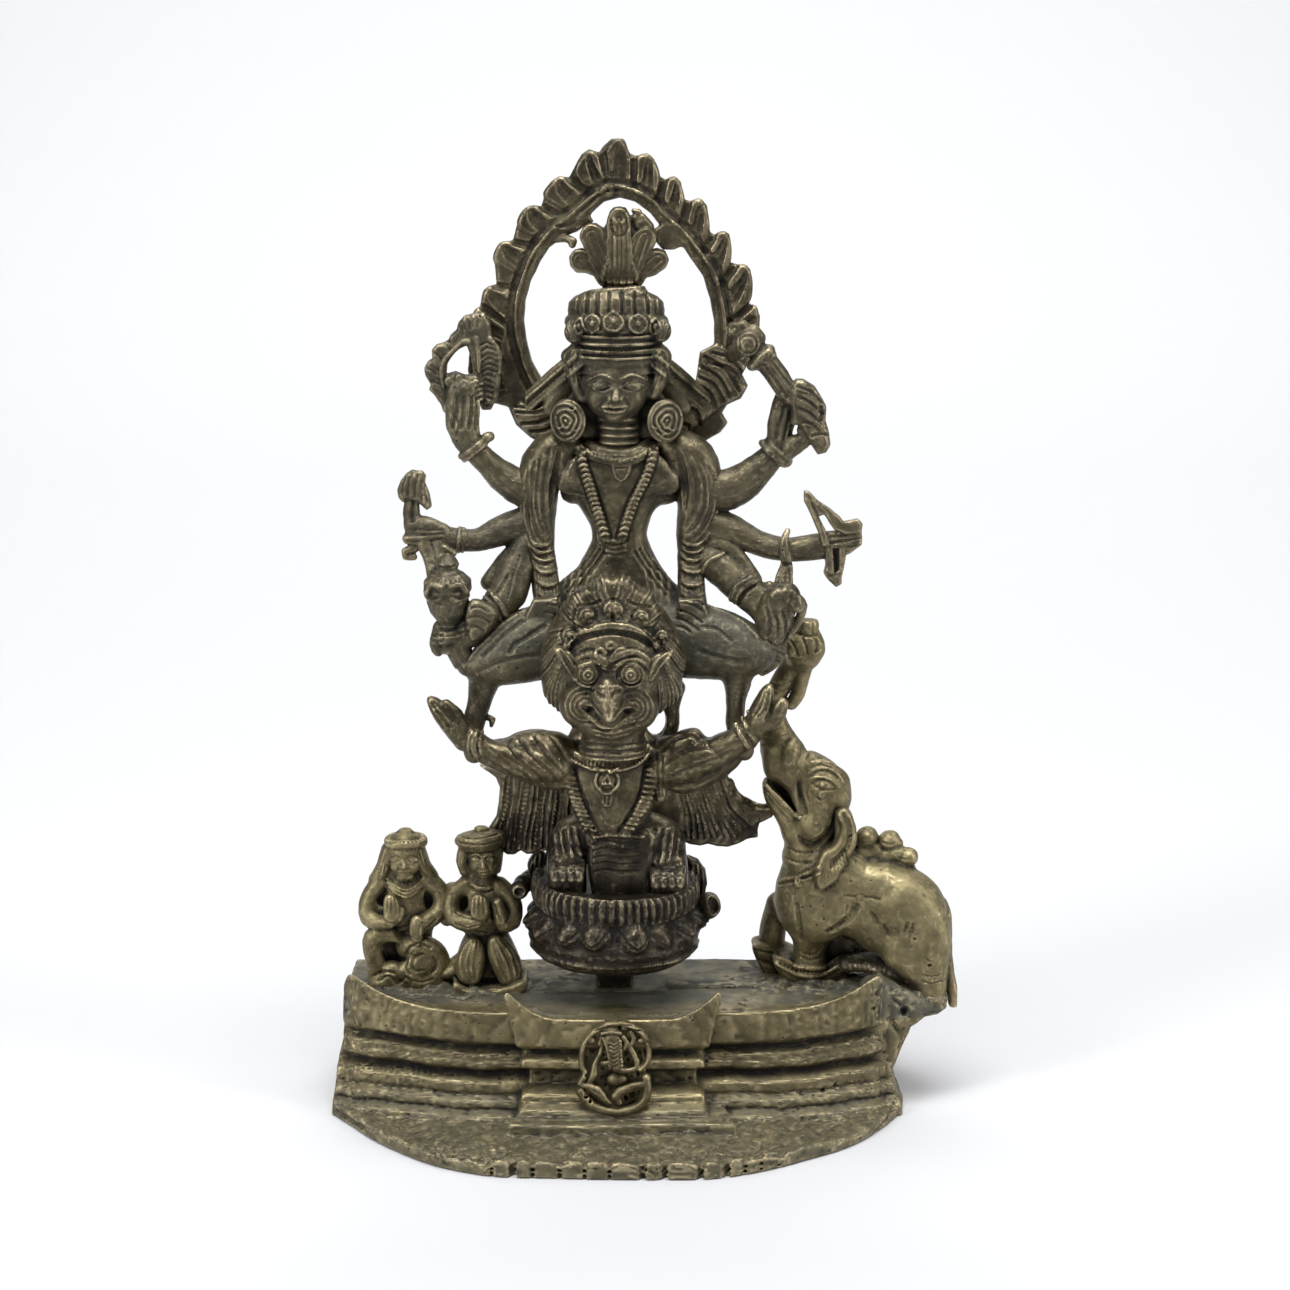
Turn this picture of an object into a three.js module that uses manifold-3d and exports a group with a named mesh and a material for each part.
// A cast Vishnu on Garuda, with a flame-edged aureole, on a stepped plinth with donors and an elephant.
// Millimetres, +Z up, the front faces -Y. The solids are worked out with x = 0 on the figure's upright axis
// and z = 0 on the ground, then the whole group is moved sideways and in depth to centre it on its origin.
import * as THREE from 'three';
import { LoftGeometry } from 'three/addons/geometries/LoftGeometry.js';
import { mergeVertices } from 'three/addons/utils/BufferGeometryUtils.js';
import Module from 'manifold-3d';

const wasm = await Module();
wasm.setup();

// Driving dimensions
const DECK = 20.6; // top of the plinth, where the group stands
const SEAT_GAP = 0.3; // clearance between the group's block and the deck
const AXIS_Y = 12; // depth of the upright axis through Vishnu, Garuda and the lotus

const PLINTH_HALF = 50; // half width of the plinth at its corners
const PLINTH_FRONT = -3; // front of the plinth's side wings beside the centre
const PLINTH_CORNER_FRONT = 2; // front of the plinth at its corners
const PLINTH_BACK = 28.5; // back of the plinth
const PANEL_HALF = 18.5; // half width of the projecting centre of the front
const PANEL_OUT = 3.5; // how far that centre projects
const HORN_RISE = 6.5; // height of the corner horns above the deck
const PANEL_HORN_RISE = 4.5; // height of the horns at the ends of that centre
const DECK_THICK = 3; // thickness of the deck over the hollow
const HOLLOW_HALF = 45; // half width of the hollow under the plinth
const HOLLOW_FRONT = 5.5;
const HOLLOW_BACK = 25.5;
const APRON_HALF = 53.5; // half width of the moon-shaped apron
const APRON_REACH = 31; // how far its edge comes forward of the side corners
const APRON_THICK = 1.8;
const APRON_CORNER_Y = 1; // depth at which the apron's curved edge begins
const APRON_BACK = 14; // depth to which the apron runs in under the plinth

const AUREOLE_Y = 18; // depth of the middle of the aureole
const AUREOLE_THICK = 3.6;
const AUREOLE_CENTRE_Z = 141;
const AUREOLE_FOOT = -0.5; // angle, in radians below level, where its two ends stop
const AUREOLE_OUTER = [22.6, 33.4]; // reach to the side and rise of the band's outer edge
const AUREOLE_INNER = [17.2, 27];
const FLAMES = 15; // flames round the aureole
const LOTUS_RADIUS = 16.6;
const LOTUS_TOP = 42;
const LOTUS_BOTTOM = 25.4;
const PETALS = 11; // petals round the lotus

const SIDES = 8; // faces round a limb

const V = (x, y, z) => new THREE.Vector3(x, y, z);

// A closed three.js geometry as a solid, its faces turned outwards.
function solid(geometry) {
  const bare = geometry.index ? geometry.toNonIndexed() : geometry.clone();
  bare.deleteAttribute('normal');
  bare.deleteAttribute('uv');
  const merged = mergeVertices(bare, 1e-4);
  const corners = merged.attributes.position.array;
  const triVerts = new Uint32Array(merged.index.array);
  const at = (i) => V(corners[3 * i], corners[3 * i + 1], corners[3 * i + 2]);
  let volume = 0;
  for (let i = 0; i < triVerts.length; i += 3) {
    volume += at(triVerts[i]).dot(at(triVerts[i + 1]).cross(at(triVerts[i + 2])));
  }
  if (volume < 0) {
    for (let i = 0; i < triVerts.length; i += 3) {
      [triVerts[i + 1], triVerts[i + 2]] = [triVerts[i + 2], triVerts[i + 1]];
    }
  }
  return new wasm.Manifold(new wasm.Mesh({ numProp: 3, vertProperties: corners, triVerts }));
}

const join = (parts) => parts.flat(9).reduce((all, part) => all.add(part));

// An ellipsoid about a point.
function ball([x, y, z], [rx, ry, rz], round = SIDES, tall = 5) {
  const geometry = new THREE.SphereGeometry(1, round, tall);
  geometry.rotateX(Math.PI / 2);
  geometry.scale(rx, ry, rz);
  geometry.translate(x, y, z);
  return solid(geometry);
}

// A limb through stations [x, y, z, half width, half depth]: rings across the path, closed at both ends.
// `across` is the direction in which the half depth is measured.
function limb(stations, across = V(0, 1, 0), sides = SIDES) {
  const points = stations.map(([x, y, z]) => V(x, y, z));
  const rings = stations.map(([, , , width, depth = width], i) => {
    const before = points[Math.max(i - 1, 0)];
    const after = points[Math.min(i + 1, points.length - 1)];
    const along = after.clone().sub(before).normalize();
    const side = across.clone().cross(along).normalize();
    const front = along.clone().cross(side);
    return Array.from({ length: sides }, (_, k) => {
      const turn = (k + 0.5) / sides * 2 * Math.PI;
      return points[i].clone()
        .addScaledVector(side, Math.cos(turn) * width)
        .addScaledVector(front, Math.sin(turn) * depth);
    });
  });
  return solid(new LoftGeometry(rings, { capStart: true, capEnd: true }));
}

// A bar between two stations, for collars, straps and bead strands.
function strap(from, to, sides = 4) {
  const steep = Math.abs(to[1] - from[1]) > Math.abs(to[0] - from[0]) + Math.abs(to[2] - from[2]);
  return limb([from, to], steep ? V(0, 0, 1) : V(0, 1, 0), sides);
}

// A fluted form along an upright or a front-to-back line: rings [along, rx, r2, flute depth] whose outline
// goes in and out once for each flute.
function fluted(levels, centre, count, axis = 'z', from = 0) {
  const rings = levels.map(([along, rx, other, deep]) => Array.from({ length: 2 * count }, (_, k) => {
    const turn = from + k / count * Math.PI * (axis === 'z' ? 1 : -1);
    const shrink = k % 2 ? deep : 0;
    const u = Math.cos(turn) * (rx - shrink);
    const v = Math.sin(turn) * (other - shrink);
    return axis === 'z' ? V(centre[0] + u, centre[1] + v, along) : V(centre[0] + u, along, centre[2] + v);
  }));
  return solid(new LoftGeometry(rings, { capStart: true, capEnd: true }));
}

// A flat outline [[x, z], ...] given a thickness in depth, between y = front and y = back.
function plate(outline, front, back) {
  const shape = new THREE.Shape(outline.map(([x, z]) => new THREE.Vector2(x, z)));
  const geometry = new THREE.ExtrudeGeometry(shape, { depth: back - front, bevelEnabled: false });
  geometry.rotateX(Math.PI / 2);
  geometry.translate(0, back, 0);
  return solid(geometry);
}

// A disc seen from the front, its rim bevelled.
function boss([x, y, z], radius, depth, sides = 7) {
  const bevel = 0.6;
  return limb([
    [x, y, z, radius * 0.6], [x, y + bevel, z, radius], [x, y + depth, z, radius],
  ], V(0, 0, 1), sides);
}

// `count` things, each made from its number and from its share of the way along.
const span = (count, make) => Array.from({ length: count }, (_, i) => make(i, i / (count - 1)));

// Aureole

// A point of the aureole's inner or outer edge at an angle from level, as a pointed egg.
function aureolePoint(angle, [reach, rise], out = 0) {
  const up = Math.sin(angle);
  const height = up > 0 ? (rise + out) * up ** 1.08 : (reach + out) * up * 1.12;
  return [(reach + out) * Math.cos(angle), AUREOLE_CENTRE_Z + height];
}

function aureole() {
  const sweep = Math.PI - 2 * AUREOLE_FOOT;
  const width = sweep / FLAMES;
  const middle = (FLAMES - 1) / 2;
  // each flame leans up towards the apex: [share of its width, reach beyond the band]
  const LEANING = [[0.04, 0], [0.4, 2], [0.84, 2.7]];
  const APEX = [[0.04, 0.6], [0.34, 3.8], [0.66, 3.8]];
  const outer = [];
  for (let i = 0; i < FLAMES; i += 1) {
    const leaf = i === middle ? APEX : LEANING;
    for (const [share, out] of i > middle ? [...leaf].reverse() : leaf) {
      const place = i > middle ? 1 - share : share;
      outer.push(aureolePoint(AUREOLE_FOOT + (i + place) * width, AUREOLE_OUTER, out));
    }
  }
  const inner = span(11, (i, t) => aureolePoint(AUREOLE_FOOT + t * sweep, AUREOLE_INNER));
  const front = AUREOLE_Y - AUREOLE_THICK / 2;
  return [
    plate([...outer, ...inner.reverse()], front, front + AUREOLE_THICK),
    // webs of metal tie the hood to the band
    strap([-5, 15, 162, 1.6], [-12.4, 17.6, 160.8, 2]),
    strap([5, 15, 161, 1.8], [13.4, 17.6, 160, 2.2]),
    [-1, 1].map((s) => limb([[s * 8, 17, 131, 4, 1.6], [s * 20, 18, 131.6, 4.8, 1.7]], V(0, 1, 0), 4)),
  ];
}

// Five serpent heads that fan out above the crown.
function hood() {
  // each lobe's tip [x, z] and the way it points
  const LOBES = [
    [8.7, 156.4, -0.1], [5.6, 162, 0.7], [0.2, 166, 1.57], [-5.4, 162.4, 2.44], [-8.3, 156.4, 3.24],
  ];
  const fan = LOBES.flatMap(([x, z, turn]) => [-1, -0.4, 0.4, 1].map((side) => {
    const out = Math.abs(side) < 1 ? 0.9 : -0.9;
    const [dx, dz] = [Math.cos(turn), Math.sin(turn)];
    return [x + dx * out - dz * side * 2.2, z + dz * out + dx * side * 2.2];
  }));
  return plate([[-2.4, 151], [2.6, 151], ...fan], 12.4, 15.6);
}

// Vishnu

function vishnuHead() {
  const x = -0.2;
  const skull = fluted([
    [127.6, 3, 3.2, 0], [130, 4.4, 4.8, 0], [134, 5.6, 6, 0], [139, 6.1, 6.6, 0],
  ], [x, AXIS_Y], 5, 'z', 0.3);
  const crown = fluted([
    [138.4, 6.7, 7, 0], [142.2, 6.8, 7.1, 0.1], [142.8, 9, 8.8, 1.2], [146, 9, 8.8, 1.2],
    [146.8, 7.8, 7.8, 0.6],
    [149.6, 8.8, 8.4, 0.8], [152.4, 6.4, 6.4, 0.6],
  ], [x, AXIS_Y], 9);
  const nose = limb([[x, 6.5, 137, 0.6], [x, 4.6, 133.2, 1], [x, 6.4, 132.4, 1]], V(1, 0, 0), 4);
  const side = (s) => [
    boss([x + s * 8.4, 8.6, 128.2], 3.4, 5.6),
    limb([
      [x + s * 6.2, 12, 139.6, 2.2, 2], [x + s * 7, 12, 133, 1.4], [x + s * 8.2, 11.4, 128.6, 1.8],
    ], V(0, 1, 0), 5),
    strap([x + s * 6.6, 13.6, 139.6, 1.4], [x + s * 15.8, 16.8, 131.4, 1.2]),
  ];
  const neck = strap([x, AXIS_Y, 121, 4.6, 3.8], [x, AXIS_Y + 0.4, 130, 4.2, 4], 6);
  const nape = ball([x, AXIS_Y + 3.6, 133.5], [7.2, 3.6, 7], 6, 4);
  return [skull, crown, nose, side(-1), side(1), neck, nape];
}

function vishnuBody() {
  const torso = limb([
    [0.1, AXIS_Y + 0.6, 91, 9.6, 6],
    [0.1, AXIS_Y + 0.6, 98.5, 9.4, 5.6],
    [0.1, AXIS_Y, 102.8, 6.6, 4.6],
    [0.1, AXIS_Y, 107.8, 5.2, 4.2],
    [0.1, AXIS_Y, 114, 8.6, 4.6],
    [0.1, AXIS_Y, 118.5, 12, 4.4],
    [0.1, AXIS_Y + 0.6, 124.6, 7, 3],
  ], V(0, 1, 0), 8);
  const collar = limb([
    [-6.3, 10, 124.6, 0.8], [-3.4, 7.9, 122.4, 1.2], [3.4, 7.9, 122.4, 1.2], [6.3, 10, 124.6, 0.8],
  ], V(0, 1, 0), 4);
  return [
    torso,
    collar,
    boss([0.5, 6.6, 119.8], 1.5, 2.4, 6),
    strap([-6.4, 8.4, 123, 1], [-2.4, 7.6, 107, 1]),
    strap([6.4, 8.4, 123, 1], [1.4, 7.6, 107, 1]),
    strap([-2.6, 7.8, 106.2, 1.6], [1.6, 7.8, 106.2, 1.6]),
  ];
}

// The shawl: a pleated shoulder cap, then a banded fall that ends on the thigh.
function sleeve(s) {
  const bands = span(7, (i, t) => {
    const swell = (i % 2) * 0.5;
    return [s * (13.4 - t * 0.4), AXIS_Y - 0.4 - t * 2, 106.5 - t * 14, 2.1 + swell, 2.3 + swell];
  });
  return [
    limb([
      [s * 9.4, AXIS_Y, 123.4, 2.2, 2.6],
      [s * 13.8, AXIS_Y, 120.4, 3.6, 3.8],
      [s * 14.6, AXIS_Y - 0.2, 114, 3.9, 3.8],
      [s * 13.4, AXIS_Y - 0.4, 106, 2.3, 2.5],
    ], V(0, 1, 0), 7),
    limb(bands, V(0, 1, 0), 5),
  ];
}

// A flat hand at the end of an arm, its fingers pressed together.
function hand(wrist, tip, width, thick) {
  const [a, b] = [V(...wrist), V(...tip)];
  const stations = [[0, 0.7, 1], [0.45, 1, 1], [1, 0.5, 0.5]].map(([t, w, d]) => {
    const p = a.clone().lerp(b, t);
    return [p.x, p.y, p.z, w * width, d * thick];
  });
  return limb(stations, V(0, 1, 0), 5);
}

function leftArms() {
  const upper = [
    limb([
      [-13, AXIS_Y, 118, 3.2, 2.6], [-19, AXIS_Y, 117, 3.8, 3], [-24.6, 11, 123.4, 2.4, 2.3],
      [-25, 11, 124, 3],
      [-26.2, 10.8, 125.2, 3],
    ], V(0, 1, 0), 5),
    hand([-26, 10.6, 123.6], [-28, 10.6, 134], 3.4, 1.7),
  ];
  const middle = [
    limb([[-13, AXIS_Y, 112, 3, 2.4], [-19, AXIS_Y, 109, 3.2, 2.6], [-32, 10.4, 106, 2.2, 2]], V(0, 1, 0), 5),
    hand([-31, 10.4, 106.4], [-39.6, 9.8, 106.6], 2.3, 2.2),
    limb([
      [-37.4, 10, 106, 1.4], [-37.2, 10, 111.8, 1.2], [-36.9, 10, 113, 3, 2], [-37.2, 10, 116, 2.6, 2],
      [-36.6, 10, 119.6, 1],
    ], V(0, 1, 0), 5),
    ball([-37.6, 9.8, 104], [1.5, 1.5, 1.4], 5, 4),
    strap([-36, 9, 105.4, 0.9], [-33.4, 7, 100.4, 1]),
  ];
  const lower = [
    limb([
      [-15, 10.6, 108, 2.2], [-18.6, 8.6, 102, 3, 2.6], [-21.2, 6.8, 97.4, 2.6], [-21.6, 6.6, 96.8, 3.2],
      [-22.8, 6, 95.2, 3.2], [-25.6, 5, 91, 2.8, 2],
    ], V(0, 1, 0), 5),
    fluted([
      [89.6, 1.6, 1.6, 0], [92, 1.4, 1.4, 0], [94.6, 3.2, 3, 0], [97.4, 2.8, 2.6, 0.2], [98.8, 4.9, 4.2, 1.2],
      [101, 4.6, 4, 1], [102.8, 1.4, 1.4, 0], [105, 1, 1, 0],
    ], [-30.2, 5], 5),
    limb([[-28.8, 5, 91.4, 1.6], [-27.4, 5, 87.6, 2.6, 2], [-24, 6, 84, 3, 2.6]], V(0, 1, 0), 5),
    strap([-23, 8.6, 99, 0.9], [-18, 11, 106.6, 0.9]),
  ];
  return [upper, middle, lower];
}

// The flaming disc behind the highest left hand: a lobed rim round an opening, with a hub below.
function chakra() {
  const [cx, cz] = [-28.4, 138.6];
  const rim = span(8, (i, t) => {
    const turn = Math.PI * (0.02 + 1.28 * t);
    return [cx + 4.9 * Math.cos(turn), 14, cz + 1 + 5.6 * Math.sin(turn), 1.5 + (i % 2) * 0.6, 1.7];
  });
  return [
    limb(rim, V(0, 1, 0), 4),
    limb([
      [-22.6, 15, 145, 2.2, 1.8], [-21.6, 15.4, 139, 2.4, 2], [-21.8, 15.4, 133.6, 2, 1.8],
    ], V(0, 1, 0), 4),
    limb([[-32, 13.4, 134.2, 1.4], [-28, 12.6, 134.6, 2.2], [-23, 14.6, 134, 1.6]], V(0, 1, 0), 5),
  ];
}

function rightArms() {
  const upper = [
    limb([
      [13, AXIS_Y, 118, 3.2, 2.6], [19.6, AXIS_Y, 116.4, 3.8, 3], [27.4, 10.8, 121.8, 2.4, 2.3],
      [28, 10.7, 122.4, 3], [29.2, 10.6, 123.6, 3],
    ], V(0, 1, 0), 5),
    hand([28.6, 10.6, 121.6], [32, 9.6, 134], 3, 2),
    strap([31, 9.4, 127.6, 1.8], [34, 8, 124.2, 1.2], 4),
  ];
  const mace = [
    ball([20.9, 9.4, 146], [1.7, 1.7, 1.7], 5, 4),
    ball([22.8, 8.8, 142.8], [2.5, 2.4, 2.5], 6, 4),
    limb([
      [23.6, 9, 142.2, 2], [25, 9, 140.6, 3.1], [26.2, 9, 139.2, 3.1], [26.4, 9, 138.8, 2.3],
      [30, 9, 135.4, 1.9],
      [33.4, 9, 133.4, 3], [36.2, 8.8, 128.6, 2.6], [36.6, 8.4, 123.6, 1.6],
    ], V(0, 1, 0), 5),
    limb([[21.8, 9, 143, 1.6], [22, 17, 142, 1.8]], V(1, 0, 0), 5),
  ];
  const middle = [
    limb([
      [13, AXIS_Y, 111, 3.2, 2.6], [20, AXIS_Y, 108.8, 4, 3], [33, 10.4, 105.4, 2.1, 2], [38, 10, 106.6, 1.9],
    ], V(0, 1, 0), 5),
    hand([37, 10, 106.6], [44, 9.6, 108.6], 2.2, 2),
    limb([[33.8, 8.6, 116, 0.8], [38.4, 8.4, 107, 1.4], [39.3, 8.6, 98.8, 0.9]], V(0, 1, 0), 5),
    strap([34.2, 9, 115, 0.9], [42.4, 9.6, 109.8, 1.2]),
    limb([[31, 9, 107.6, 1], [31.2, 9, 103.4, 1.1], [30.4, 9, 99.4, 1.7, 1.4]], V(0, 1, 0), 4),
  ];
  const lower = [
    limb([
      [15, 11, 107.6, 2.4], [18.6, 9, 102.2, 2.8], [21, 7.7, 99.6, 2.7], [21.4, 7.4, 99.2, 3.2],
      [22.8, 6.8, 97.8, 3.2], [26.6, 5.6, 95.2, 2.4],
    ], V(0, 1, 0), 5),
    limb([[30.6, 3.8, 98.2, 1.8], [30, 4.6, 95.6, 3.2], [29, 5.4, 89, 2.8]], V(0, 1, 0), 6),
    strap([28.4, 5.4, 90, 2.6], [24, 6.4, 84, 2.6], 6),
  ];
  return [upper, mace, middle, lower];
}

// Thighs spread to both sides over Garuda's shoulders, and the shins that come down to Garuda's wrists.
function legs() {
  const thigh = (s) => limb([
    [s * 4, 10, 90, 5.4, 5.6], [s * 13, 7.4, 89, 6.4, 5.6], [s * 20, 5.6, 86.4, 5.2, 5],
    [s * 29, 5.6, 84.6, 1.8, 2.6],
  ], V(0, 1, 0), 6);
  return [
    thigh(-1),
    limb([[-23.6, 6, 84, 2.6], [-25, 6, 78, 2], [-26.2, 4.4, 71, 1.9]], V(0, 1, 0), 6),
    thigh(1),
    limb([[22.4, 6, 82, 2.6], [21.8, 5.6, 76, 1.7], [22.4, 4.2, 71.6, 1.8]], V(0, 1, 0), 6),
  ];
}

// Garuda

function garudaHead() {
  const x = -0.7;
  const skull = ball([x, -2.4, 86.6], [10.6, 9.6, 12.2], 8, 5);
  const hair = fluted([
    [-8, 9.6, 9.8, 1], [-3, 12.4, 12.6, 1.6], [5, 12, 12, 1.6], [10, 7, 7, 1],
  ], [x, 0, 90.6], 9, 'y', 0.1);
  const brow = limb([
    [-7.8, -9, 88.6, 0.9], [-5, -10.4, 92.6, 0.9], [x, -10.8, 93.6, 0.9], [3.6, -10.4, 92.6, 0.9],
    [6.4, -9, 88.6, 0.9],
  ], V(0, 1, 0), 4);
  const eyes = [-5.1, 2.6].map((at) => strap([at, -12, 85.6, 1.4], [at, -8, 85.6, 2.2], 6));
  const brows = [-1, 1].map((s) => strap([x + s * 6.6, -9.6, 88.4, 1.2], [x, -11.8, 88.4, 1.2]));
  const beak = limb([
    [-1.6, -9, 85.6, 1.6, 2.4], [-1.6, -11, 82.2, 3, 2.8], [-1.6, -13.8, 79, 2.2, 2], [-1.6, -15, 76.6, 0.8],
  ], V(0, 1, 0), 5);
  const cheeks = [-6.2, 3].map((at) => ball([at, -8.6, 79.8], [3.5, 3.7, 3.5], 6, 4));
  const lowerBeak = ball([-1.4, -8.6, 76.8], [5.4, 4.4, 2.6], 6, 4);
  const rosettes = [[-1.1, 97, 2.3], [-5.9, 95.6, 1.8], [3.8, 95.6, 1.8], [-8.8, 92.6, 1.6], [7.6, 92.4, 1.6]]
    .map(([at, z, r]) => strap([at, -11 + Math.abs(at + 1) * 0.36, z, r * 0.8], [at, -6, z, r * 1.2], 5));
  const ears = [-1, 1].map((s) => limb([
    [x + s * 7.4, -7.4, 85.4, 1.4, 1.2], [x + s * 9, -8, 88, 1.8, 1.4], [x + s * 10.8, -7.6, 91, 0.6],
  ], V(0, 1, 0), 4));
  return [skull, hair, brow, eyes, brows, beak, cheeks, lowerBeak, rosettes, ears];
}

function garudaBody() {
  const x = -0.8;
  const torso = limb([
    [x, 5.6, 76, 5.6, 5.6], [x, 6.2, 70.4, 7, 5.4], [x, 6.6, 66, 10, 6.4], [x, 6.6, 60, 8.6, 6.6],
    [x, 6.8, 54.6, 6, 5.4], [x, 8, 49, 7.6, 6.6],
  ], V(0, 1, 0), 7);
  const collar = limb([
    [-8.4, 4, 69.6, 1.4], [-5, -0.4, 68, 1.5], [3.6, -0.4, 68, 1.5], [6.9, 4, 69.6, 1.4],
  ], V(0, 0, 1), 5);
  return [
    torso,
    collar,
    strap([4.6, 6, 70, 3, 3], [9.6, 7.6, 79, 1.6, 2], 5),
    boss([-1.6, -1.6, 64.8], 2.3, 4),
    strap([-1.6, 0, 62, 1.8, 1.2], [-1.6, 0.4, 59.4, 1.2, 1.2]),
    strap([-8.6, 2.8, 67.4, 1.1], [-4.8, 0.8, 55, 1.1]),
    strap([6.8, 2.8, 67.4, 1.1], [2, 0.8, 55, 1.1]),
  ];
}

function garudaArms() {
  const left = [
    limb([
      [-6, 6, 68, 4, 4], [-13, 4.4, 68.4, 3.6, 3.6], [-24.4, 2.2, 68.8, 2.4], [-24.8, 2, 69.2, 3],
      [-26.2, 2, 70.4, 3],
    ], V(0, 1, 0), 5),
    hand([-26, 2, 70.4], [-34, 0.8, 78.6], 3.2, 1.6),
  ];
  const right = [
    limb([
      [5, 6, 68, 4, 4], [12, 4.6, 67, 3.7, 3.6], [21.8, 2.4, 70, 2.4], [22.2, 2.2, 70.6, 3],
      [23.6, 2, 71.8, 3],
    ], V(0, 1, 0), 5),
    hand([23.4, 1.8, 72.2], [29.6, 0.6, 80.6], 3.2, 1.6),
  ];
  const folds = [-1, 1].map((s) => limb([
    [s * 6, 4, 71, 1.4], [s * 10, 2, 69.6, 1.8], [s * 9.4, 1.8, 61, 1.5],
  ], V(0, 1, 0), 4));
  return [left, right, folds];
}

// A wing of feathers combed side by side: one ridge to a feather, from the shoulder line down to the tips.
// Each of `lines` is [line, swell]: `line(t)` gives [x, y, z] from the body outwards, and the ridges stand
// out by `swell`.
function wing(lines, feathers, thick) {
  const rings = lines.map(([line, swell]) => {
    const points = Array.from({ length: 2 * feathers + 1 }, (_, k) => line(k / (2 * feathers), k));
    const front = points.map(([x, y, z], k) => V(x, y - thick / 2 - (k % 2) * swell, z));
    const back = points.filter((_, k) => k % 2 === 0).map(([x, y, z]) => V(x, y + thick / 2, z));
    return [...front, ...back.reverse()];
  });
  return solid(new LoftGeometry(rings, { capStart: true, capEnd: true }));
}

function wings() {
  const TOOTH = 0.9; // how far each feather's tip hangs below the gaps beside it
  const left = (reach, tip, feathers) => wing([
    [(t) => [-3 - t * 17, 12.4, 66 - t * 2.6], 0.6],
    [(t) => [-5 - t * (reach - 7), 15.4, 57 + t * tip * 0.4], 1],
    [(t, k) => [-7 - t * (reach - 7), 16.6, 47 + t * t * tip - (k % 2) * TOOTH], 0.6],
  ], feathers, 2.4);
  return [
    left(25, 4, 5),
    left(27.6, 6, 6).mirror([1, 0, 0]),
    limb([[-20, 12, 64, 2.4, 2], [0, 11, 63, 5, 3], [18, 12, 64, 2.4, 2]], V(0, 1, 0), 6),
    limb([[20, 13.6, 62, 1.4], [22.6, 16, 56.4, 1.8], [28.4, 16.6, 53.6, 0.9]], V(0, 1, 0), 4),
  ];
}

function garudaLegs() {
  const leg = (s) => [
    limb([
      [s * 4 - 0.6, 8, 54, 4.4, 5], [s * 7.6 - 0.4, 5, 50, 4.6, 5.4], [s * 8.6, 3.6, 41.4, 4, 4.6],
    ], V(0, 1, 0), 7),
    span(3, (i) => limb([
      [s * 8.6 + (i - 1) * 2.1, 3, 44, 1.5], [s * 8.8 + (i - 1) * 2.7, -2, 42, 0.9],
    ], V(1, 0, 0), 4)),
  ];
  return [leg(-1), leg(1), limb([[0, 11, 56, 4.6, 2.4], [0.3, 9, 41.4, 4.4, 2.2]], V(0, 1, 0), 4)];
}

// Lotus seat: a combed rim over one row of petals and a plain bowl, on a small block.
function lotus() {
  const R = LOTUS_RADIUS;
  const ground = DECK + SEAT_GAP;
  const form = fluted([
    [LOTUS_BOTTOM, 8, 8, 0], [26.8, 13, 13, 0], [29.6, R - 0.2, R - 0.2, 0], [32.6, R - 0.4, R - 0.4, 0],
    [33.6, R - 2.4, R - 2.4, 0.4], [36.4, R + 0.6, R + 0.6, 2], [38.6, R - 1, R - 1, 1],
    [39, R - 1.4, R - 1.4, 0],
    [LOTUS_TOP, R - 0.8, R - 0.8, 0.3],
  ], [-0.4, AXIS_Y], PETALS);
  return [
    form,
    ball([17, 11, 37.4], [2, 2, 2.6], 5, 4),
    ball([-16.6, 11, 39.4], [2, 2, 2], 5, 4),
    strap([-0.6, AXIS_Y, ground, 5.4, 6.4], [-0.6, AXIS_Y, LOTUS_BOTTOM + 1, 6, 7]),
  ];
}

function figureGroup() {
  return join([
    vishnuBody(), vishnuHead(), hood(), aureole(), sleeve(-1), sleeve(1), leftArms(), chakra(), rightArms(),
    legs(), garudaHead(), garudaBody(), garudaArms(), wings(), garudaLegs(), lotus(),
  ]);
}

// Plinth

// The plan of the plinth at one level, from the left back corner round the front. `inset` moves every
// side in, `flare` moves the front and the sides out at the foot.
function plan(inset, flare) {
  const half = PLINTH_HALF - inset + flare;
  const corner = PLINTH_CORNER_FRONT + inset - flare;
  const front = PLINTH_FRONT + inset - flare;
  const panel = PANEL_HALF - inset * 0.6 + flare * 1.2;
  const back = PLINTH_BACK - inset * 0.5 + flare * 0.2;
  return [
    [-half, back], [-half, (back + corner) / 2], [-half, corner], [-(half + panel) / 2, front + 0.9],
    [-panel, front],
    [-panel, front - PANEL_OUT], [0, front - PANEL_OUT - 0.4], [panel, front - PANEL_OUT], [panel, front],
    [(half + panel) / 2, front + 0.9], [half, corner], [half, (back + corner) / 2], [half, back], [0, back],
  ];
}

// How far a point of the plan is lifted at one level, so that the mouldings turn up towards the horns.
function lift(x, y, share) {
  const wing = Math.max(0, (Math.abs(x) - PANEL_HALF - 3) / (PLINTH_HALF - PANEL_HALF - 3));
  return y < AXIS_Y ? share * HORN_RISE * wing ** 2 : 0;
}

// A solid whose outline is the plinth's plan at every level.
function stack(levels) {
  return solid(new LoftGeometry(
    levels.map(([z, inset, flare, share]) => (
      plan(inset, flare).map(([x, y]) => V(x, y, z + lift(x, y, share)))
    )),
    { capStart: true, capEnd: true },
  ));
}

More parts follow.
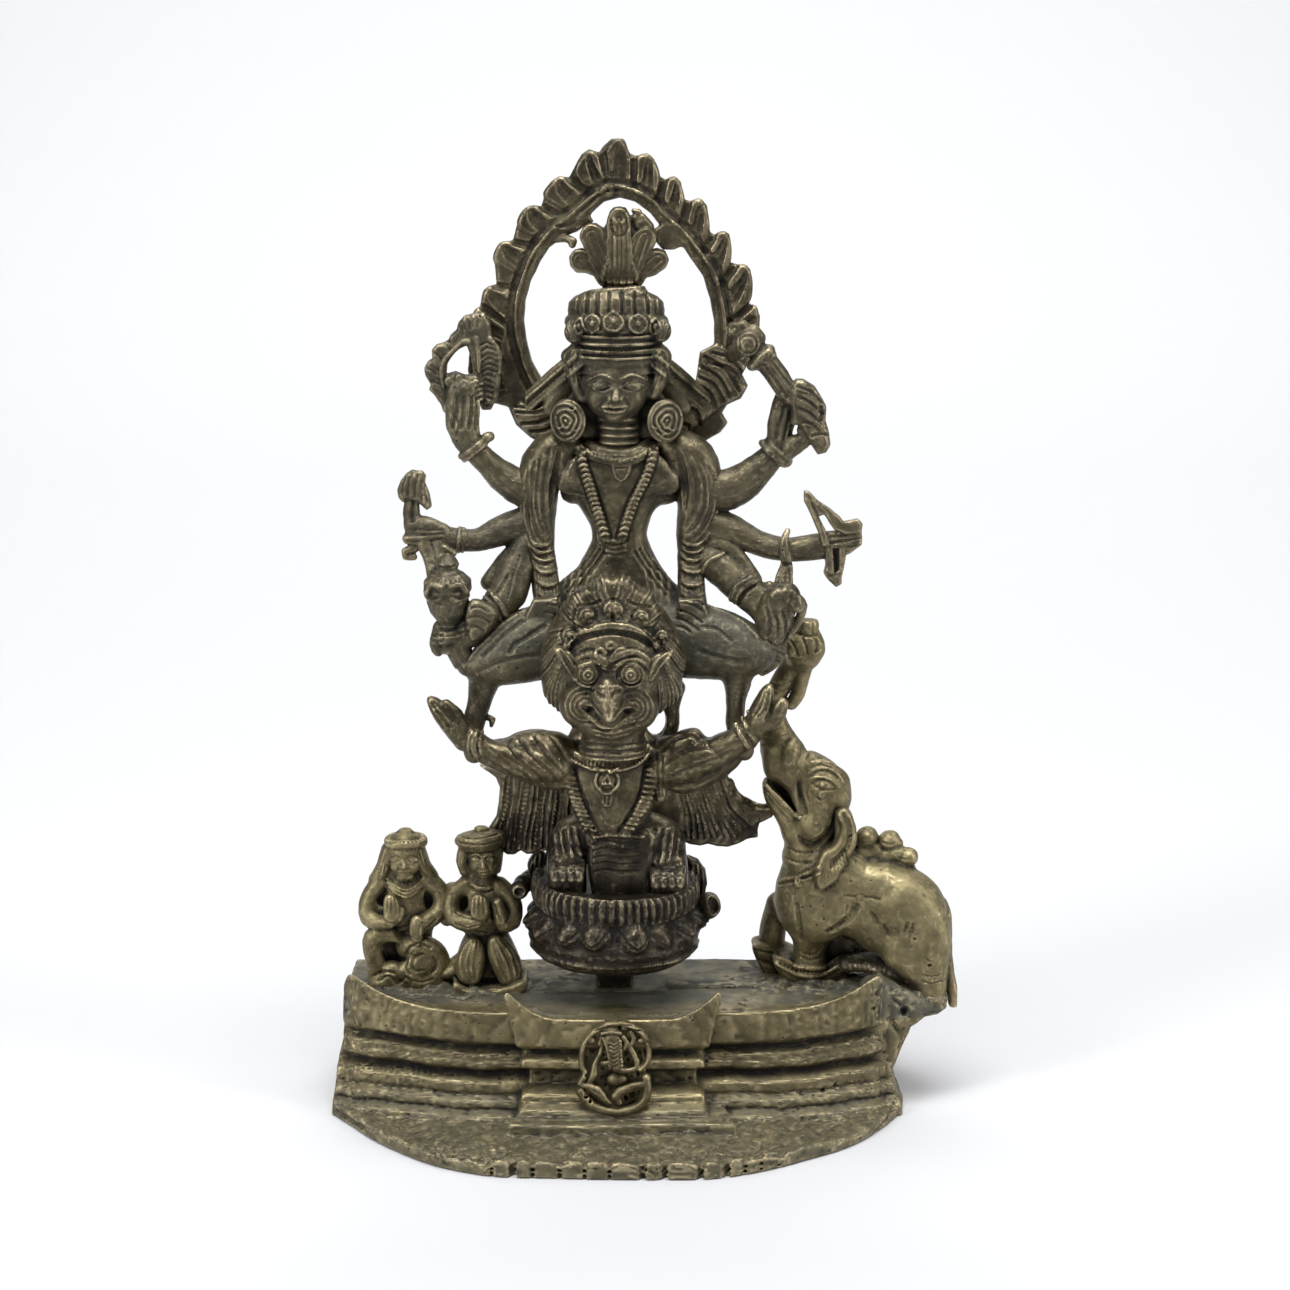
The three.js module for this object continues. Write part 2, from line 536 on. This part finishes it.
// The mouldings from the foot up to the deck, each level as [height, inset, flare, share of the lift].
function plinthBody() {
  return stack([
    [0, 0, 3.4, 0], [2.2, 0, 3.4, 0], [2.6, 0, 2.2, 0], [4.6, 0, 1.9, 0], [5, 0, 0.9, 0], [7.6, 0.4, 0, 0.05],
    [8, 2.4, 0, 0.1], [9.8, 2.4, 0, 0.12], [10.2, 0.9, 0, 0.15], [11.8, 0.9, 0, 0.2], [12.2, 1.7, 0, 0.22],
    [14, 1.5, 0, 0.25], [14.6, 0, 0, 0.3], [DECK, 0, 0, 0],
  ]);
}

// The four horns: the deck's edge sweeps up at the outer corners and at the ends of the centre.
function horns() {
  const sweep = (x0, x1, y0, y1, rise) => {
    const stations = span(6, (i, t) => {
      const up = rise * t ** 2.4;
      return [x0 + (x1 - x0) * t, y0 + (y1 - y0) * t, DECK - 3 + up / 2 + 1.2, 0.9 + up * 0.02, 1.8 + up / 2];
    });
    return limb(stations, V(0, 0, 1), 4);
  };
  return [-1, 1].flatMap((s) => [
    sweep(s * 22, s * 49, PLINTH_FRONT + 1, PLINTH_CORNER_FRONT + 1.2, HORN_RISE),
    sweep(s * 5, s * 17.4, PLINTH_FRONT - PANEL_OUT + 0.9, PLINTH_FRONT - PANEL_OUT + 0.9, PANEL_HORN_RISE),
  ]);
}

// The moon-shaped apron in front of the plinth, its edge cut into small petals.
function apron() {
  const edge = span(33, (i, t) => {
    const turn = Math.PI * (1 + t);
    const petal = i % 2 && i > 6 && i < 26 ? 0.9 : 0;
    return new THREE.Vector2(
      (APRON_HALF + petal) * Math.cos(turn),
      APRON_CORNER_Y + (APRON_REACH + petal) * Math.sin(turn),
    );
  });
  edge.push(new THREE.Vector2(APRON_HALF - 1, APRON_BACK), new THREE.Vector2(-APRON_HALF + 1, APRON_BACK));
  const geometry = new THREE.ExtrudeGeometry(new THREE.Shape(edge), { depth: APRON_THICK, bevelEnabled: false });
  return solid(geometry);
}

// The hollow under the plinth, open below.
function hollow() {
  const geometry = new THREE.BoxGeometry(2 * HOLLOW_HALF, HOLLOW_BACK - HOLLOW_FRONT, 2 * (DECK - DECK_THICK));
  geometry.translate(0, (HOLLOW_FRONT + HOLLOW_BACK) / 2, 0);
  return solid(geometry);
}

// Seated elephant-headed figure in an oval frame at the middle of the front.
function medallion() {
  const x = -0.9;
  const y = PLINTH_FRONT - PANEL_OUT - 1;
  const pair = (make) => [make(-1), make(1)];
  return [
    limb(span(9, (i, t) => {
      const turn = Math.PI * (0.5 + 2 * t);
      return [x + 6 * Math.cos(turn), y + 0.6, 11.6 + 8.2 * Math.sin(turn), 0.9, 1.6];
    }), V(0, 1, 0), 4),
    ball([x, y + 0.4, 16.6], [2.6, 2.2, 2.4], 6, 4),
    limb([[x, y - 1.2, 16, 1], [x + 0.2, y - 1.6, 13, 0.9], [x + 1.4, y - 1.2, 11, 0.8]], V(0, 1, 0), 4),
    ball([x, y + 0.6, 11], [3, 2.2, 3.4], 6, 4),
    pair((s) => strap([x + s * 2, y + 0.2, 17, 2, 0.7], [x + s * 4, y + 0.8, 15.6, 1.2, 0.7])),
    pair((s) => strap([x + s * 2, y + 0.2, 13.4, 1], [x + s * 4.4, y, 11, 0.9])),
    pair((s) => strap([x + s * 0.6, y - 0.2, 7, 1.6], [x + s * 4.2, y - 0.2, 6, 1.6])),
  ];
}

// Kneeling donors with their hands together.
function bearded() {
  const [x, y] = [-39.8, 13];
  return [
    ball([x, y + 0.6, 46.4], [4.2, 4, 5], 6, 4),
    strap([x, y + 2.2, 41, 5.6, 3.8], [x, y + 2.2, 50, 4.2, 3.4], 6),
    limb([
      [x, y + 0.6, 49.4, 4.6, 4.4], [x, y + 0.6, 51.4, 4.6, 4.4], [x, y + 0.6, 53.4, 1.8],
    ], V(0, 1, 0), 7),
    limb([
      [x, y + 2, 22, 6, 5], [x + 0.2, y + 2, 30, 4.6, 4], [x, y + 1.6, 41.4, 5.8, 3.2],
      [x, y + 1, 44, 2.6, 2.4],
    ], V(0, 1, 0), 5),
    [-1, 1].map((s) => limb([
      [x + s * 5.2, y + 1.6, 41.4, 2], [x + s * 6.8, y, 37, 1.9], [x + s * 1.6 - 1.2, y - 3.4, 36.6, 1.6],
    ], V(0, 1, 0), 4)),
    hand([x - 2.4, y - 3.2, 35.4], [x - 2.2, y - 4.4, 40.2], 1.6, 1),
    strap([x - 1, y + 1, 26, 3, 3.4], [x - 6, y - 2, 30.6, 2.4], 5),
    strap([x - 6.2, y - 2, 31, 2], [x - 4, y - 2.4, 21.6, 2.4], 5),
    limb([
      [x + 1, y + 1, 26, 3.4], [x + 4, y - 3, 26.6, 3.4, 3], [x + 3.2, y - 4.8, 25.8, 2.2],
    ], V(0, 0, 1), 5),
    strap([x, y + 1, DECK - 0.6, 7, 6], [x, y + 1, DECK + 2, 6.2, 5.2], 6),
  ];
}

function hatted() {
  const [x, y] = [-25.4, 9.6];
  const skirt = (s) => limb([
    [x + s * 1.6, y + 1, 36, 2.4, 3], [x + s * 3.2, y, 29, 3.6, 4.4], [x + s * 3.8, y - 0.4, 21.6, 3.8, 5],
  ], V(0, 1, 0), 5);
  return [
    ball([x, y + 0.4, 46], [4.1, 4, 5], 6, 4),
    limb([
      [x + 0.2, y + 0.2, 49.4, 3.4], [x + 0.2, y + 0.2, 50.8, 5, 4.8], [x + 0.2, y + 0.2, 53, 1.8],
      [x, y + 0.2, 54, 1],
    ], V(0, 1, 0), 7),
    limb([
      [x, y + 1.4, 30, 3.6, 3.4], [x, y + 1.4, 40.6, 5.4, 3], [x, y + 0.8, 43.4, 2.4, 2.2],
    ], V(0, 1, 0), 5),
    [-1, 1].map((s) => limb([
      [x + s * 4.8, y + 1.4, 40.4, 1.9], [x + s * 6, y, 35.6, 1.9], [x + s * 0.8, y - 3.8, 35.6, 1.5],
    ], V(0, 1, 0), 4)),
    hand([x - 0.2, y - 3.6, 34.8], [x - 0.6, y - 4.6, 39.2], 1.7, 1),
    skirt(-1),
    skirt(1),
    strap([x + 0.2, y, DECK - 0.6, 7.6, 6.2], [x + 0.2, y, DECK + 1.6, 7, 5.6], 6),
  ];
}

function donors() {
  return [
    bearded(),
    hatted(),
    strap([-34.4, 13, 37.4, 2], [-30.4, 13, 37.4, 2], 5),
    strap([-37, 12.5, DECK + 0.4, 1.6, 4], [-28, 12.5, DECK + 0.4, 1.6, 4]),
  ];
}

// The elephant stands on pads and a bracket, and lifts a lotus bud in its trunk behind Garuda's hand.
function elephant() {
  const body = limb([
    [34.6, 15.4, 41, 4.6, 4.4], [40, 14.6, 40.4, 7, 6.2], [47, 13.4, 38.6, 8, 7], [54, 12, 36.6, 7.8, 7],
    [59, 11, 33.6, 6.2, 6], [61.4, 10.8, 31.6, 3.4, 4],
  ], V(0, 1, 0), 6);
  const neck = limb([[40, 14.8, 43, 6, 5.6], [36.4, 14.4, 49, 5, 5], [37, 14, 56, 5.4, 5]], V(0, 1, 0), 7);
  const head = limb([
    [32.6, 13.6, 57, 2.8, 3], [37, 13.6, 58.4, 5.6, 5], [42.4, 14, 58, 3, 3.4],
  ], V(0, 1, 0), 6);
  const jaw = limb([
    [37, 13.4, 53, 3, 3.2], [31.6, 12.6, 56, 1.8, 2], [27.2, 12.2, 60.4, 0.8, 1],
  ], V(0, 1, 0), 5);
  const tusk = limb([[33.4, 11.6, 54.6, 1.2], [32.4, 11, 61, 1.2], [33, 11.4, 66.6, 1]], V(0, 1, 0), 4);
  const trunk = limb([
    [35.4, 14, 60, 4, 3.4], [31.6, 15, 66, 2.8, 2.4], [29.4, 16, 71, 2.2, 2.1], [29.8, 16, 75.4, 2.2, 2.1],
    [32, 15.4, 79.6, 2.3, 2.1], [34.4, 14, 83.4, 1.6],
  ], V(0, 1, 0), 5);
  const bud = limb([
    [34, 13.8, 81.6, 1.2], [35.4, 13, 85.6, 2.8, 2.3], [35.4, 13, 88, 2, 1.9], [34.8, 13, 91, 1.2],
  ], V(0, 1, 0), 6);
  const ear = limb([[41.4, 12, 56, 1.2, 2], [43, 11, 50, 1.8, 2], [39.4, 9.8, 42, 1.4, 1.4]], V(0, 1, 0), 4);
  const frontLegs = [13.4, 20].map((y) => limb([
    [37, y, 38, 3.6, 3], [35.8, y, 32, 3, 2.6], [36, y, 25, 3.2, 2.8],
  ], V(0, 1, 0), 5));
  const hindLegs = [8.6, 15].map((y) => limb([
    [57.4, y, 34, 4, 3.2], [58, y, 28, 2.8, 2.6], [57.8, y, 20.6, 2.9, 2.8],
  ], V(0, 1, 0), 5));
  const knobs = [[46.6, 49.6, 1.9], [50.2, 49.2, 2], [53.4, 46.6, 1.7]].map(([x, z, r]) => limb([
    [x - 0.2, 12, z - 5, r * 0.9], [x, 12, z, r], [x, 12, z + r, r * 0.4],
  ], V(0, 1, 0), 4));
  const tail = limb([[60.6, 10.6, 36, 1.2], [62, 10, 28, 0.9], [62.4, 8.6, 15.6, 1.1]], V(0, 1, 0), 4);
  const collar = limb([[31.6, 12.6, 46.4, 1.2], [34.6, 9.4, 43.6, 1.3], [39, 9.2, 42.6, 1.2]], V(0, 1, 0), 4);
  return [body, neck, head, jaw, tusk, trunk, bud, ear, frontLegs, hindLegs, knobs, tail, collar];
}

// The scalloped pad under the fore feet, the one behind it, and the metal that ties both to the deck.
function pads() {
  const scallop = limb([
    [29, 16.8, 24.6, 1.2, 4], [32, 15.8, 23.4, 2, 5.2], [36, 15.4, 22.8, 2.4, 5.6], [40, 15.8, 23.6, 2, 5.2],
    [42.4, 16.8, 25.2, 1, 4],
  ], V(0, 1, 0), 8);
  const rear = limb([
    [25.8, 21.4, 27, 1.4, 3], [29, 21.4, 24.4, 2, 3.6], [34, 21.4, 22.6, 2.6, 3.6],
  ], V(0, 1, 0), 6);
  const foot = limb([[30, 18, DECK - 0.8, 3, 6], [42, 16, DECK - 0.8, 3, 7]], V(0, 1, 0), 6);
  return [scallop, rear, foot];
}

// The bracket that carries the hind feet out beyond the plinth's corner.
function bracket() {
  return plate([
    [44, 20], [48, 24.4], [53, 22.4], [60.6, 20.4], [61, 18.4], [57.6, 17.6], [54.6, 16], [51, 7], [44, 7],
  ], 4.4, 18);
}

function plinth() {
  return join([plinthBody(), horns()]).subtract(hollow())
    .add(join([apron(), medallion(), donors(), elephant(), pads(), bracket()]))
    .subtract(hollow());
}

// Scene graph

function node(name, form, material) {
  const { vertProperties, triVerts } = form.getMesh();
  const geometry = new THREE.BufferGeometry();
  geometry.setAttribute('position', new THREE.BufferAttribute(new Float32Array(vertProperties), 3));
  geometry.setIndex(new THREE.BufferAttribute(new Uint32Array(triVerts), 1));
  geometry.computeVertexNormals();
  const mesh = new THREE.Mesh(geometry, material);
  mesh.name = name;
  return mesh;
}

const bronze = new THREE.MeshStandardMaterial({ color: 0x5a4a32, roughness: 0.5, metalness: 0.9 });
const brass = new THREE.MeshStandardMaterial({ color: 0x8d7a4c, roughness: 0.45, metalness: 0.9 });

const group = new THREE.Group();
group.add(node('figure_group', figureGroup(), bronze));
group.add(node('plinth', plinth(), brass));

// The origin goes to the middle of the underside of the whole.
const bounds = new THREE.Box3().setFromObject(group);
const middle = bounds.getCenter(V(0, 0, 0));
group.position.set(-middle.x, -middle.y, -bounds.min.z);

export default group;
